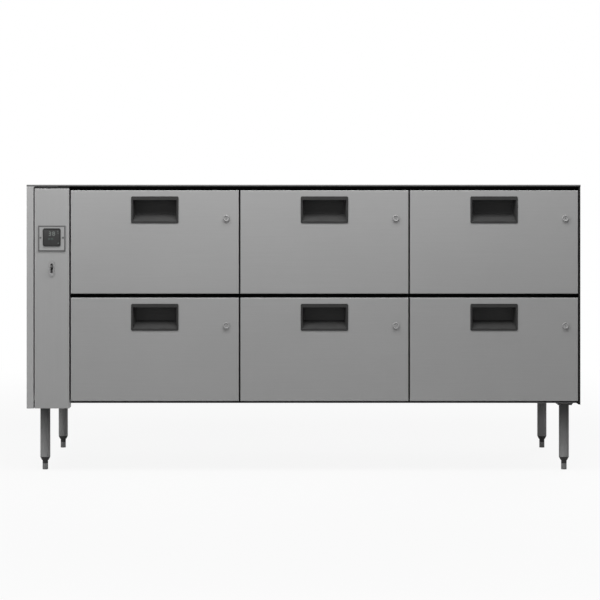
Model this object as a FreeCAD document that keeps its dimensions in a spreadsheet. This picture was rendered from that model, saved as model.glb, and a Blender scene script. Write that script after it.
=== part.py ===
import FreeCAD, Part
import os
import re
import Sketcher

# Drawer refrigerator: six insulated drawers in two rows, a control column at the left end, four tall legs.
# Millimetres. +X right, -Y towards the user, +Z up. The origin is at floor level under the middle of the
# whole piece, so the outline is centred on X and on Y.

Vector = FreeCAD.Vector
doc = FreeCAD.newDocument("DrawerRefrigerator")

# Every size that can be set by itself. The overall width, depth and height follow from these.
SIZES = {
    # drawer fronts and the gaps round them
    "front_width": 532,
    "front_height": 327,
    "front_thickness": 45,
    "front_bend": 2,
    "column_gap": 5,
    "row_gap": 13,
    "top_gap": 12,
    "base_gap": 12,
    "side_margin": 8,
    "liner_inset": 54,
    "liner_rise": 5,
    # seal
    "seal_overlap": 30,
    "gasket_inset": 6,
    "gasket_width": 20,
    "gasket_base": 3,
    "bellows_width": 12,
    "gasket_thickness": 7.7,
    "gasket_clearance": 0.3,
    # cabinet
    "sheet": 1.2,
    "frame_thickness": 3,
    "frame_clearance": 1.5,
    "side_setback": 3,
    "body_clearance": 2,
    "rail_depth": 50,
    "back_wall": 50,
    "plenum_depth": 88,
    "drawer_rear_clearance": 7,
    "top_thickness": 6,
    # control column
    "end_panel_width": 22,
    "end_joint": 3,
    "end_top_gap": 1,
    "fascia_width": 110,
    "fascia_top_gap": 6,
    "skirt_drop": 11.5,
    "cable_entry_radius": 10.2,
    # thermostat and its plate
    "display_width": 86,
    "display_height": 81,
    "display_thickness": 2,
    "display_drop": 158,
    "display_corner": 1.5,
    "controller_width": 56,
    "controller_height": 57,
    "controller_rise": 3.5,
    "controller_depth": 60,
    "bezel_overlap": 2,
    "bezel_thickness": 2.5,
    "bezel_border": 4,
    "bezel_recess": 0.8,
    "bezel_corner": 4,
    "case_clearance": 0.3,
    # power switch
    "switch_drop": 253,
    "escutcheon_width": 15,
    "escutcheon_height": 51,
    "escutcheon_thickness": 2.5,
    "escutcheon_corner": 7,
    "switch_neck_width": 11,
    "switch_neck_height": 38,
    "switch_box_width": 24,
    "switch_box_height": 46,
    "switch_depth": 32,
    "switch_wall": 6,
    "slot_width": 8,
    "slot_height": 32,
    "lever_reach": 16,
    "lever_length": 28,
    "lever_tip_radius": 3.5,
    "lever_neck": 5,
    "lever_bevel": 1.5,
    "lever_width": 6.5,
    "lever_hub": 7.4,
    "lever_pin_radius": 2,
    "lever_pin_length": 14,
    "lever_tilt": 14,
    "pin_clearance": 0.05,
    # handle cups
    "cup_width": 150,
    "cup_height": 85,
    "cup_drop": 19,
    "cup_depth": 34,
    "cup_wall": 2.5,
    "cup_rim": 2.5,
    "cup_flange": 1.5,
    "cup_corner": 3,
    "cup_lip": 11,
    "cup_lip_thickness": 5,
    "cup_floor_rise": 25,
    "cup_draft": 6,
    "cup_clearance": 0.3,
    # locks
    "lock_inset": 40,
    "lock_drop": 88,
    "rose_radius": 10,
    "rose_thickness": 4,
    "barrel_width": 16,
    "barrel_clearance": 0.2,
    "plug_radius": 5,
    "plug_recess": 0.6,
    "key_slot_width": 1.6,
    "key_slot_height": 6,
    "key_slot_depth": 6,
    "cam_length": 30,
    "cam_width": 16,
    "cam_thickness": 3,
    "cam_clearance": 1,
    "strike_clearance": 2,
    # drawer bins
    "bin_floor_gap": 12,
    "bin_height": 185,
    "bin_setback": 15,
    "bin_length": 441,
    "bin_wall": 1.5,
    "bin_rim_height": 6,
    "bin_rim_width": 3,
    "bracket_inset": 16,
    "bracket_width": 30,
    "bracket_height": 120,
    "bracket_thickness": 2.5,
    # telescopic slides
    "slide_length": 450,
    "slide_setback": 6,
    "slide_rise": 60,
    "slide_height": 45,
    "slide_thickness": 12.7,
    "slide_gauge": 1.2,
    "slide_lip": 2,
    "rail_width": 10,
    "track_gap": 2.8,
    "member_gap": 1.4,
    "middle_reach": 12,
    "inner_reach": 7.5,
    "glide_length": 200,
    "glide_side_clearance": 0.5,
    "glide_clearance": 0.3,
    # legs and feet
    "leg_height": 217,
    "leg_inset_left": 48,
    "leg_inset_right": 39,
    "leg_front_inset": 41,
    "leg_rear_inset": 50,
    "tube_radius": 16,
    "leg_plate_width": 50,
    "leg_plate_thickness": 4,
    "insert_length": 45,
    "tube_end_radius": 11,
    "tube_taper": 10,
    "foot_radius": 9,
    "foot_stem": 30,
    "foot_spindle": 42,
    "foot_clearance": 0.1,
    # evaporator behind the middle drawers
    "casing_width": 440,
    "casing_headroom": 50,
    "casing_rise": 60,
    "casing_clearance": 10,
    "casing_wall": 1.5,
    "fan_radius": 80,
    "fan_tip_clearance": 5,
    "fan_drop": 110,
    "fan_hub_radius": 22,
    "fan_width": 24,
    "fan_setback": 2,
    "blade_thickness": 1.6,
    "blade_count": 5,
    "shaft_radius": 4,
    "shaft_clearance": 0.05,
    "motor_radius": 30,
    "motor_length": 18,
    "motor_gap": 3,
    "arm_width": 14,
    "arm_thickness": 3,
    "coil_depth": 26,
    "coil_height": 340,
    "coil_lift": 40,
    "stub_reach": 30,
    "stub_pitch": 70,
    "suction_radius": 8,
    "liquid_radius": 5,
    "drain_radius": 10,
    "pass_width": 180,
    "pass_height": 36,
    "pass_clearance": 0.3,
}

# Places that follow from the sizes, each a formula over the names above it.
PLACES = {
    "half_width": "(end_panel_width + end_joint + fascia_width + 3 * front_width + 3 * column_gap"
    " + side_margin) / 2",
    "left_x": "-half_width",
    "right_x": "half_width",
    "end_x": "left_x + end_panel_width",
    "fascia_x": "end_x + end_joint",
    "fascia_end_x": "fascia_x + fascia_width",
    "body_x": "fascia_end_x + body_clearance",
    "column_one_x": "fascia_end_x + column_gap",
    "column_two_x": "column_one_x + front_width + column_gap",
    "column_three_x": "column_two_x + front_width + column_gap",
    "face_setback": "front_thickness + gasket_thickness + gasket_clearance",
    "bin_y": "face_setback + bin_setback",
    "slide_y": "face_setback + slide_setback",
    "drawer_reach": "max(bin_y + bin_length; slide_y + slide_length)",
    "body_reach": "drawer_reach + drawer_rear_clearance + plenum_depth + back_wall",
    "front_edge_y": "-(lever_reach + body_reach + stub_reach) / 2",
    "face_y": "front_edge_y + lever_reach",
    "cabinet_y": "face_y + face_setback",
    "back_y": "face_y + body_reach",
    "inner_back_y": "back_y - back_wall",
    "plenum_y": "inner_back_y - plenum_depth",
    "base_z": "leg_height",
    "skirt_z": "base_z - skirt_drop",
    "floor_z": "base_z + sheet",
    "row_lower_z": "base_z + base_gap",
    "row_upper_z": "row_lower_z + front_height + row_gap",
    "under_top_z": "row_upper_z + front_height + top_gap",
    "top_z": "under_top_z + top_thickness",
    "chamber_floor_z": "row_lower_z + seal_overlap",
    "chamber_top_z": "row_upper_z + front_height - seal_overlap",
    "fascia_height": "under_top_z - fascia_top_gap - skirt_z",
    "display_x": "fascia_width / 2",
    "display_z": "fascia_height - display_drop",
    "controller_z": "display_z + controller_rise",
    "case_width": "controller_width - 2 * bezel_overlap",
    "case_height": "controller_height - 2 * bezel_overlap",
    "switch_z": "fascia_height - switch_drop",
    "pivot_y": "lever_length * cos(lever_tilt) + (lever_tip_radius - lever_bevel) * sin(lever_tilt)"
    " - lever_reach",
    "cup_x": "(front_width - cup_width) / 2",
    "cup_z": "front_height - cup_drop - cup_height",
    "lock_x": "front_width - lock_inset",
    "lock_z": "front_height - lock_drop",
    "cam_y": "face_setback + frame_thickness + cam_clearance",
    "bin_x": "seal_overlap + slide_thickness",
    "bin_z": "seal_overlap + bin_floor_gap",
    "bracket_x": "bin_x + bracket_inset",
    "slide_z": "bin_z + slide_rise",
    "rail_half": "slide_height / 2",
    "middle_half": "rail_half - slide_gauge - track_gap",
    "inner_half": "middle_half - slide_gauge - track_gap",
    "middle_u": "slide_gauge + member_gap",
    "leg_left_x": "left_x + leg_inset_left",
    "leg_right_x": "right_x - leg_inset_right",
    "leg_front_y": "cabinet_y + leg_front_inset",
    "leg_rear_y": "back_y - leg_rear_inset",
    "casing_height": "coil_lift + coil_height + casing_headroom",
    "casing_x": "column_two_x + (front_width - casing_width) / 2",
    "casing_y": "plenum_y + casing_clearance",
    "casing_z": "chamber_floor_z + casing_rise",
    "fan_x": "casing_x + casing_width / 2",
    "fan_y": "casing_y + casing_wall + fan_setback",
    "fan_z": "casing_z + casing_height - fan_drop",
    "motor_y": "fan_y + fan_width + motor_gap",
    "arm_y": "motor_y + motor_length",
    "coil_y": "inner_back_y - coil_depth",
    "stub_z": "casing_z + coil_lift / 2",
}

ROWS = ("row_upper_z", "row_lower_z")
COLUMNS = ("column_one_x", "column_two_x", "column_three_x")
DRAWERS = [(number, COLUMNS[(number - 1) % 3], ROWS[(number - 1) // 3]) for number in range(1, 7)]
SIDES = ("left", "right")


def fill_sheet(name, cells):
    """A spreadsheet with one named cell a row: a plain number, or a formula over named cells."""
    sheet = doc.addObject("Spreadsheet::Sheet", name)
    for row, (alias, content) in enumerate(cells.items(), start=1):
        sheet.set(f"A{row}", alias.replace("_", " "))
        text = "=" + full(content) if isinstance(content, str) else str(content)
        sheet.set(f"B{row}", text)
        sheet.setAlias(f"B{row}", alias)
    return sheet


def full(expression):
    """The expression with each size's name led by the name of its sheet."""

    def lead(match):
        word = match.group(0)
        if word in SIZES:
            return "Sizes." + word
        return "Places." + word if word in PLACES else word

    return re.sub(r"[a-z_][a-z_0-9]*", lead, str(expression))


def value(expression):
    return float(sizes.evalExpression(full(expression)))


def bind(thing, path, expression):
    thing.setExpression(path, full(expression))


sizes = fill_sheet("Sizes", SIZES)
fill_sheet("Places", PLACES)
doc.recompute()

# Sub-parts, each written to its own file at the end
parts = []


def keep(thing, label):
    thing.Label = label
    parts.append(thing)
    return thing


def place(thing, x=0, y=0, z=0):
    for axis, expression in (("x", x), ("y", y), ("z", z)):
        bind(thing, "Placement.Base." + axis, expression)


# Sketching planes of a body, with the sign that turns a distance along the axis into one along the normal
PLANES = {"front": ("XZ_Plane", "-"), "side": ("YZ_Plane", ""), "top": ("XY_Plane", "")}


def new_body(name, x=0, y=0, z=0):
    body = doc.addObject("PartDesign::Body", name)
    place(body, x, y, z)
    return body


def origin_of(body, role):
    return next(item for item in body.Origin.OriginFeatures if item.Role == role)


def sketch_on(body, plane, at=0):
    """An empty sketch on one of the body's planes, shifted to the given place along the plane's axis."""
    role, sign = PLANES[plane]
    sketch = body.newObject("Sketcher::SketchObject", body.Name + "_sketch")
    sketch.AttachmentSupport = (origin_of(body, role), [""])
    sketch.MapMode = "FlatFace"
    bind(sketch, "AttachmentOffset.Base.z", f"{sign}({at})")
    return sketch


def hold(sketch, kind, geometry, point, expression):
    """Hold a point of the sketch to its origin along one axis."""
    number = value(expression)
    index = sketch.addConstraint(Sketcher.Constraint(kind, -1, 1, geometry, point, number))
    bind(sketch, f"Constraints[{index}]", expression)


def add_outline(sketch, points):
    """A closed outline of straight lines through the points, each a pair of expressions."""
    first = sketch.GeometryCount
    count = len(points)
    corners = [Vector(value(x), value(y), 0) for x, y in points]
    for i in range(count):
        sketch.addGeometry(Part.LineSegment(corners[i], corners[(i + 1) % count]), False)
    for i in range(count):
        following = first + (i + 1) % count
        sketch.addConstraint(Sketcher.Constraint("Coincident", first + i, 2, following, 1))
    for i, (x, y) in enumerate(points):
        hold(sketch, "DistanceX", first + i, 1, x)
        hold(sketch, "DistanceY", first + i, 1, y)
    return sketch


def add_rectangle(sketch, low_x, high_x, low_y, high_y):
    return add_outline(sketch, [(low_x, low_y), (high_x, low_y), (high_x, high_y), (low_x, high_y)])


def add_circle(sketch, x, y, radius):
    middle = Vector(value(x), value(y), 0)
    index = sketch.addGeometry(Part.Circle(middle, Vector(0, 0, 1), value(radius)), False)
    hold(sketch, "DistanceX", index, 3, x)
    hold(sketch, "DistanceY", index, 3, y)
    constraint = sketch.addConstraint(Sketcher.Constraint("Radius", index, value(radius)))
    bind(sketch, f"Constraints[{constraint}]", radius)
    return sketch


def rectangle_on(body, plane, at, low_x, high_x, low_y, high_y):
    return add_rectangle(sketch_on(body, plane, at), low_x, high_x, low_y, high_y)


def centred(body, at, x, z, width, height):
    """A rectangle about a middle, on the front plane."""
    return rectangle_on(
        body,
        "front",
        at,
        f"{x} - ({width}) / 2",
        f"{x} + ({width}) / 2",
        f"{z} - ({height}) / 2",
        f"{z} + ({height}) / 2",
    )


def pad(body, sketch, length, towards=1):
    """A pad along the plane's axis, towards +1 or -1. The front plane's normal points to -Y."""
    feature = body.newObject("PartDesign::Pad", body.Name + "_pad")
    feature.Profile = sketch
    bind(feature, "Length", length)
    along_normal = 1 if sketch.AttachmentSupport[0][0].Role != "XZ_Plane" else -1
    feature.Reversed = towards != along_normal
    return feature


def pocket(body, sketch, length, towards=1):
    """A pocket along the plane's axis, towards +1 or -1, which has to take material away."""
    doc.recompute()
    before = body.Shape.Volume
    feature = body.newObject("PartDesign::Pocket", body.Name + "_pocket")
    feature.Profile = sketch
    bind(feature, "Length", length)
    along_normal = 1 if sketch.AttachmentSupport[0][0].Role != "XZ_Plane" else -1
    feature.Reversed = towards == along_normal
    doc.recompute()
    if not feature.Shape.Volume < before:
        raise RuntimeError(f"{feature.Name} cuts nothing")
    return feature


def revolve(body, points, plane):
    """A turned solid about the sketch's upright axis."""
    sketch = add_outline(sketch_on(body, plane), points)
    feature = body.newObject("PartDesign::Revolution", body.Name + "_turned")
    feature.Profile = sketch
    feature.ReferenceAxis = (sketch, ["V_Axis"])
    feature.Angle = 360
    return feature


def dress_edges(body, kind, size, expression, wanted):
    """A fillet or chamfer on the edges of the body's tip that the test picks."""
    doc.recompute()
    base = body.Tip
    names = [f"Edge{i}" for i, edge in enumerate(base.Shape.Edges, start=1) if wanted(edge.BoundBox)]
    feature = body.newObject("PartDesign::" + kind, body.Name + "_edges")
    feature.Base = (base, names)
    bind(feature, size, expression)
    return feature


def round_edges(body, radius, wanted):
    return dress_edges(body, "Fillet", "Radius", radius, wanted)


def bevel_edges(body, width, wanted):
    return dress_edges(body, "Chamfer", "Size", width, wanted)


NEAR = 1e-4


def flat(box, axis, at=None):
    """Whether an edge's box has no extent along an axis and, if a place is given, lies there."""
    low, high = getattr(box, axis + "Min"), getattr(box, axis + "Max")
    return high - low < NEAR and (at is None or abs(low - at) < NEAR)


def block(name, x, y, z):
    """A box between two expressions along each axis."""
    box = doc.addObject("Part::Box", name)
    for side, (low, high) in zip(("Length", "Width", "Height"), (x, y, z)):
        bind(box, side, f"({high}) - ({low})")
    place(box, x[0], y[0], z[0])
    return box


def rod(name, radius, length, x, y, z, along="Z"):
    """A cylinder that starts at a point and runs along +Z, +Y or +X."""
    cylinder = doc.addObject("Part::Cylinder", name)
    bind(cylinder, "Radius", radius)
    bind(cylinder, "Height", length)
    turns = {"Z": (Vector(0, 0, 1), 0), "Y": (Vector(1, 0, 0), -90), "X": (Vector(0, 1, 0), 90)}
    axis, angle = turns[along]
    cylinder.Placement = FreeCAD.Placement(Vector(), FreeCAD.Rotation(axis, angle))
    place(cylinder, x, y, z)
    return cylinder


def fuse(name, pieces):
    joined = doc.addObject("Part::MultiFuse", name)
    joined.Shapes = pieces
    joined.Refine = True
    return joined


def cut(name, base, tools):
    result = doc.addObject("Part::Cut", name)
    result.Base = base
    result.Tool = fuse(name + "_tools", tools) if len(tools) > 1 else tools[0]
    return result


def group(name, pieces):
    compound = doc.addObject("Part::Compound", name)
    compound.Links = pieces
    return compound


# Drawer front: a foamed panel skinned in steel sheet, with its front edges bent over a small radius, a window
# for the handle cup, a hole for the lock and a pressed liner on its back. Foam and skins are bonded, so it is
# one piece. Like everything on a drawer, it is drawn from the lower left corner of the drawer's front face.
def front_panel(number, x, z):
    body = new_body(f"front_panel_{number}", x, "face_y", z)
    pad(body, rectangle_on(body, "front", 0, 0, "front_width", 0, "front_height"), "front_thickness")
    round_edges(body, "front_bend", lambda box: flat(box, "Y", 0))
    liner = rectangle_on(
        body,
        "front",
        "front_thickness",
        "liner_inset",
        "front_width - liner_inset",
        "liner_inset",
        "front_height - liner_inset",
    )
    pad(body, liner, "liner_rise")
    window = rectangle_on(
        body,
        "front",
        0,
        "cup_x + cup_rim",
        "cup_x + cup_width - cup_rim",
        "cup_z + cup_rim",
        "cup_z + cup_height - cup_rim",
    )
    pocket(body, window, "cup_depth + cup_clearance")
    barrel_hole = centred(body, 0, "lock_x", "lock_z", *("barrel_width + 2 * barrel_clearance",) * 2)
    pocket(body, barrel_hole, "front_thickness + liner_rise")
    return body


# Magnetic gasket: a base strip bonded to the back of the drawer front, and a narrower bellows that holds the
# magnet and closes on the cabinet's frame.
def gasket(number, x, z):
    body = new_body(f"gasket_{number}", x, "face_y", z)
    strips = (
        ("front_thickness", "gasket_base", "gasket_inset", "gasket_width"),
        (
            "front_thickness + gasket_base",
            "gasket_thickness - gasket_base",
            "gasket_inset + (gasket_width - bellows_width) / 2",
            "bellows_width",
        ),
    )
    for start, length, inset, width in strips:
        sketch = sketch_on(body, "front", start)
        for edge in (inset, f"{inset} + {width}"):
            add_rectangle(sketch, edge, f"front_width - ({edge})", edge, f"front_height - ({edge})")
        pad(body, sketch, length)
    return keep(body, body.Name)


# Handle cup: a moulded plastic box let into the drawer front, with a flange that covers the window's edge, a
# deep lip along the top for the fingers to pull on, a floor that slopes up, and sides that draw in. The hollow
# is what its side view and its top view have in common.
def handle_cup(number, x, z):
    shell = new_body(f"cup_shell_{number}", x, "face_y", z)
    flange = rectangle_on(
        shell, "front", "-cup_flange", "cup_x", "cup_x + cup_width", "cup_z", "cup_z + cup_height"
    )
    pad(shell, flange, "cup_flange")
    bevel_edges(shell, "cup_corner", lambda box: flat(box, "X") and flat(box, "Z"))
    shell_inset = "cup_rim + cup_clearance"
    outside = rectangle_on(
        shell,
        "front",
        0,
        f"cup_x + {shell_inset}",
        f"cup_x + cup_width - ({shell_inset})",
        f"cup_z + {shell_inset}",
        f"cup_z + cup_height - ({shell_inset})",
    )
    pad(shell, outside, "cup_depth")
    inside = f"{shell_inset} + cup_wall"
    left_x = f"cup_x + {inside}"
    right_x = f"cup_x + cup_width - ({inside})"
    mouth_y = "-2 * cup_flange"
    back_y = "cup_depth - cup_wall"
    floor_z = f"cup_z + {inside}"
    lip_z = "cup_z + cup_height - cup_lip"
    roof_z = f"cup_z + cup_height - ({inside})"
    side_view = new_body(f"cup_side_view_{number}", x, "face_y", z)
    profile = add_outline(
        sketch_on(side_view, "side", left_x),
        [
            (mouth_y, floor_z),
            (back_y, f"{floor_z} + cup_floor_rise"),
            (back_y, roof_z),
            ("cup_lip_thickness", roof_z),
            ("cup_lip_thickness", lip_z),
            (mouth_y, lip_z),
        ],
    )
    pad(side_view, profile, f"{right_x} - ({left_x})")
    top_view = new_body(f"cup_top_view_{number}", x, "face_y", z)
    plan = add_outline(
        sketch_on(top_view, "top", floor_z),
        [
            (left_x, mouth_y),
            (right_x, mouth_y),
            (f"{right_x} - cup_draft", back_y),
            (f"{left_x} + cup_draft", back_y),
        ],
    )
    pad(top_view, plan, f"{roof_z} - ({floor_z})")
    hollow = doc.addObject("Part::Common", f"cup_hollow_{number}")
    hollow.Base = side_view
    hollow.Tool = top_view
    keep(cut(f"handle_cup_{number}", shell, [hollow]), f"handle_cup_{number}")


# Lock barrel: a round rose on the front face and a square shank through the panel, bored for the plug.
def lock_barrel(number, x, z):
    body = new_body(f"lock_barrel_{number}", f"{x} + lock_x", "face_y", f"{z} + lock_z")
    pad(body, add_circle(sketch_on(body, "front"), 0, 0, "rose_radius"), "rose_thickness", -1)
    pad(body, centred(body, 0, 0, 0, "barrel_width", "barrel_width"), "front_thickness")
    bore = add_circle(sketch_on(body, "front", "-rose_thickness"), 0, 0, "plug_radius + pin_clearance")
    pocket(body, bore, "rose_thickness + front_thickness")
    return body


# Lock plug: it turns in the barrel. The key slot is at its front, and the flat cam on its back end points
# down when the drawer is unlocked.
def lock_plug(number, x, z):
    body = new_body(f"lock_plug_{number}", f"{x} + lock_x", "face_y", f"{z} + lock_z")
    start = "plug_recess - rose_thickness"
    end = "cam_y + cam_thickness"
    revolve(body, [(0, start), ("plug_radius", start), ("plug_radius", end), (0, end)], "top")
    half_cam = "cam_width / 2"
    cam = rectangle_on(body, "front", "cam_y", f"-{half_cam}", half_cam, "-cam_length", half_cam)
    pad(body, cam, "cam_thickness")
    cam_end = -value("cam_length")
    bevel_edges(body, "cam_width / 4", lambda box: flat(box, "X") and flat(box, "Z", cam_end))
    slot = rectangle_on(
        body,
        "front",
        start,
        "-key_slot_width / 2",
        "key_slot_width / 2",
        "-key_slot_height / 2",
        "key_slot_height / 2",
    )
    pocket(body, slot, "key_slot_depth")
    return keep(body, body.Name)


def from_wall(side, distance):
    """A place on the drawer's X axis, at a distance inwards from the left or right wall of its opening."""
    if side == "left":
        return f"seal_overlap + ({distance})"
    return f"front_width - seal_overlap - ({distance})"


# Slide members: rolled channels that nest in one another. Each profile is drawn by its distance from the wall
# and its height above the slide's middle, and runs the slide's whole length.
def slide_member(name, x, z, side, profile):
    body = new_body(name, x, "face_y", z)
    points = [(from_wall(side, u), f"slide_z + ({v})") for u, v in profile]
    pad(body, add_outline(sketch_on(body, "front", "slide_y"), points), "slide_length")
    return body


def channel(start, end, half):
    """A lipped channel with its web at the start, its flanges reaching to the end."""
    web = f"{start} + slide_gauge"
    lip = f"{end} - slide_gauge"
    inner = f"{half} - slide_gauge"
    tip = f"{inner} - slide_lip"
    upper = [(web, inner), (lip, inner), (lip, tip), (end, tip), (end, half), (start, half)]
    lower = [(u, f"-({v})") for u, v in reversed(upper)]
    return upper + lower


def rail_member(number, x, z, side):
    return slide_member(f"rail_{number}_{side}", x, z, side, channel("0", "rail_width", "rail_half"))


# Middle member: plastic glides keep it in the rail at its rear and on the drawer member at its front.
def middle_member(number, x, z, side):
    profile = channel("middle_u", "middle_reach", "middle_half")
    body = slide_member(f"middle_{number}_{side}", x, z, side, profile)
    outside = "middle_half"
    outside_end = "rail_half - slide_gauge - glide_clearance"
    inside = "middle_half - slide_gauge"
    inside_end = "inner_half + glide_clearance"
    glides = (
        (
            "slide_y + slide_length - glide_length",
            outside,
            outside_end,
            "rail_width - slide_gauge - glide_side_clearance",
        ),
        ("slide_y", inside, inside_end, "middle_reach - slide_gauge - glide_side_clearance"),
    )
    for start, near, far, reach in glides:
        sketch = sketch_on(body, "front", start)
        for sign in ("", "-"):
            add_rectangle(
                sketch,
                from_wall(side, "middle_u + slide_gauge"),
                from_wall(side, reach),
                f"slide_z + {sign}({near})",
                f"slide_z + {sign}({far})",
            )
        pad(body, sketch, "glide_length")
    return body


def drawer_member(number, x, z, side):
    web = "slide_thickness - slide_gauge"
    flange = "inner_half - slide_gauge"
    start = "slide_thickness - inner_reach"
    upper = [(web, flange), (start, flange), (start, "inner_half"), ("slide_thickness", "inner_half")]
    lower = [(u, f"-({v})") for u, v in reversed(upper)]
    return slide_member(f"drawer_member_{number}_{side}", x, z, side, upper + lower)


# Bin: a folded steel tub with a thickened rim, held to the drawer front by two angle brackets.
def bin_tub(number, x, z):
    body = new_body(f"bin_tub_{number}", x, "face_y", z)
    bin_end_x = "front_width - bin_x"
    bin_end_y = "bin_y + bin_length"
    walls = rectangle_on(body, "top", "bin_z", "bin_x", bin_end_x, "bin_y", bin_end_y)
    pad(body, walls, "bin_height")
    under_rim = "bin_height - bin_rim_height"
    for inset, floor, depth in (
        ("bin_rim_width", under_rim, "bin_rim_height"),
        ("bin_wall", "bin_wall", f"{under_rim} - bin_wall"),
    ):
        hollow = rectangle_on(
            body,
            "top",
            f"bin_z + {floor}",
            f"bin_x + {inset}",
            f"{bin_end_x} - {inset}",
            f"bin_y + {inset}",
            f"{bin_end_y} - {inset}",
        )
        pocket(body, hollow, depth, 1)
    near = "front_thickness + liner_rise"
    bent = f"{near} + bracket_thickness"
    reach = "bin_y + bin_wall"
    sketch = sketch_on(body, "top", "bin_z + bin_wall")
    for sign, base in (("", "bracket_x"), ("-", "front_width - bracket_x")):
        web = f"{base} + {sign}(bracket_thickness)"
        tip = f"{base} + {sign}(bracket_width)"
        bracket = [(base, reach), (base, near), (tip, near), (tip, bent), (web, bent), (web, reach)]
        add_outline(sketch, bracket)
    pad(body, sketch, "bracket_height")
    return body


rails = []
for number, x, z in DRAWERS:
    panel = front_panel(number, x, z)
    barrel = lock_barrel(number, x, z)
    keep(group(f"drawer_front_{number}", [panel, barrel]), f"drawer_front_{number}")
    gasket(number, x, z)
    handle_cup(number, x, z)
    lock_plug(number, x, z)
    tub = bin_tub(number, x, z)
    members = [drawer_member(number, x, z, side) for side in SIDES]
    keep(group(f"drawer_bin_{number}", [tub] + members), f"drawer_bin_{number}")
    middles = [middle_member(number, x, z, side) for side in SIDES]
    keep(group(f"slide_mid_{number}", middles), f"slide_mid_{number}")
    rails += [rail_member(number, x, z, side) for side in SIDES]
keep(group("slide_rails", rails), "slide_rails")


# The pass in the back wall that the refrigerant lines and the drain share
def line_pass(name, clearance):
    return block(
        name,
        (f"fan_x - pass_width / 2 - {clearance}", f"fan_x + pass_width / 2 + {clearance}"),
        ("inner_back_y", "back_y"),
        (f"stub_z - pass_height / 2 - {clearance}", f"stub_z + pass_height / 2 + {clearance}"),
    )


# Outer sheets of the cabinet, of steel. The right side runs forward beside the drawers, and the back has a
# cable entry behind the control column.
base_sheet = block("base", ("end_x", "right_x - sheet"), ("cabinet_y", "back_y"), ("base_z", "floor_z"))
keep(base_sheet, "base_sheet")
side_front_y = "face_y + side_setback"
side_sheet = block(
    "side",
    ("right_x - sheet", "right_x"),
    (side_front_y, "back_y"),
    ("base_z", "under_top_z"),
)
keep(side_sheet, "side_sheet")
back_plain = block(
    "back_plain",
    ("end_x", "right_x - sheet"),
    ("back_y - sheet", "back_y"),
    ("floor_z", "under_top_z"),
)
cable_entry = rod(
    "cable_entry",
    "cable_entry_radius",
    "3 * sheet",
    "(end_x + body_x) / 2",
    "back_y - 2 * sheet",
    "chamber_floor_z",
    "Y",
)
keep(cut("back", back_plain, [cable_entry, line_pass("sheet_pass", "pass_clearance")]), "back_sheet")


# The six front openings, and the strike pockets beside them that the lock cams turn into
def openings(name, start_y, end_y):
    return [
        block(
            f"{name}_opening_{number}",
            (f"{x} + seal_overlap", f"{x} + front_width - seal_overlap"),
            (start_y, end_y),
            (f"{z} + seal_overlap", f"{z} + front_height - seal_overlap"),
        )
        for number, x, z in DRAWERS
    ]


strikes = [
    block(
        f"strike_{number}",
        (
            f"{x} + front_width - seal_overlap - strike_clearance",
            f"{x} + lock_x + cam_length + strike_clearance",
        ),
        ("cabinet_y", "face_y + cam_y + cam_thickness + strike_clearance"),
        (
            f"{z} + lock_z - cam_length - strike_clearance",
            f"{z} + lock_z + cam_width / 2 + strike_clearance",
        ),
    )
    for number, x, z in DRAWERS
]

# Insulated body: foam between outer and inner skins, with three bays behind cross rails, dividers that stop
# short of the back, and one air space behind the drawers.
body_block = block(
    "body_block",
    ("body_x", "right_x - sheet"),
    ("cabinet_y + frame_thickness", "back_y - sheet"),
    ("floor_z", "under_top_z"),
)
chamber_z = ("chamber_floor_z", "chamber_top_z")
bays = [
    block(
        f"bay_{place_number}",
        (f"{x} + seal_overlap", f"{x} + front_width - seal_overlap"),
        ("cabinet_y + rail_depth", "inner_back_y"),
        chamber_z,
    )
    for place_number, x in enumerate(COLUMNS, start=1)
]
plenum = block(
    "plenum",
    ("column_one_x + seal_overlap", "column_three_x + front_width - seal_overlap"),
    ("plenum_y", "inner_back_y"),
    chamber_z,
)
front_hollows = openings("body", "cabinet_y", "cabinet_y + 2 * rail_depth") + strikes
inner_hollows = bays + [plenum, line_pass("body_pass", "pass_clearance")]
keep(cut("insulated_body", body_block, front_hollows + inner_hollows), "insulated_body")

# Face frame: black plate that the gaskets close on, with a flange beside the right-hand drawers.
frame_plate = block(
    "frame_plate",
    ("body_x", "right_x - sheet"),
    ("cabinet_y", "cabinet_y + frame_thickness"),
    ("floor_z", "under_top_z"),
)
frame_flange = block(
    "frame_flange",
    ("column_three_x + front_width + frame_clearance", "right_x - sheet"),
    (side_front_y, "cabinet_y + frame_thickness"),
    ("floor_z", "under_top_z"),
)
frame_openings = openings("frame", "cabinet_y - frame_thickness", "cabinet_y + 2 * frame_thickness")
keep(cut("face_frame", fuse("frame_steel", [frame_plate, frame_flange]), frame_openings), "face_frame")

# Top panel: steel sheet with its edges turned down all round.
top_sheet = block("top_sheet", ("left_x", "right_x"), ("face_y", "back_y"), ("under_top_z", "top_z"))
top_hollow = block(
    "top_hollow",
    ("left_x + sheet", "right_x - sheet"),
    ("face_y + sheet", "back_y - sheet"),
    ("under_top_z", "top_z - sheet"),
)
keep(cut("top_panel", top_sheet, [top_hollow]), "top_panel")

# End panel: a steel pan that closes the control column's left side, open towards the column.
end_panel = new_body("end_panel", "left_x", "face_y", "skirt_z")
panel_depth = "back_y - face_y"
panel_height = "under_top_z - end_top_gap - skirt_z"
pad(end_panel, rectangle_on(end_panel, "side", 0, 0, panel_depth, 0, panel_height), "end_panel_width")
round_edges(end_panel, "front_bend", lambda box: flat(box, "X", 0) and flat(box, "Y", 0))
pan_hollow = rectangle_on(
    end_panel,
    "side",
    "sheet",
    "sheet",
    f"{panel_depth} - sheet",
    "sheet",
    f"{panel_height} - sheet",
)
pocket(end_panel, pan_hollow, "end_panel_width - sheet")
keep(end_panel, "end_panel")

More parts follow.
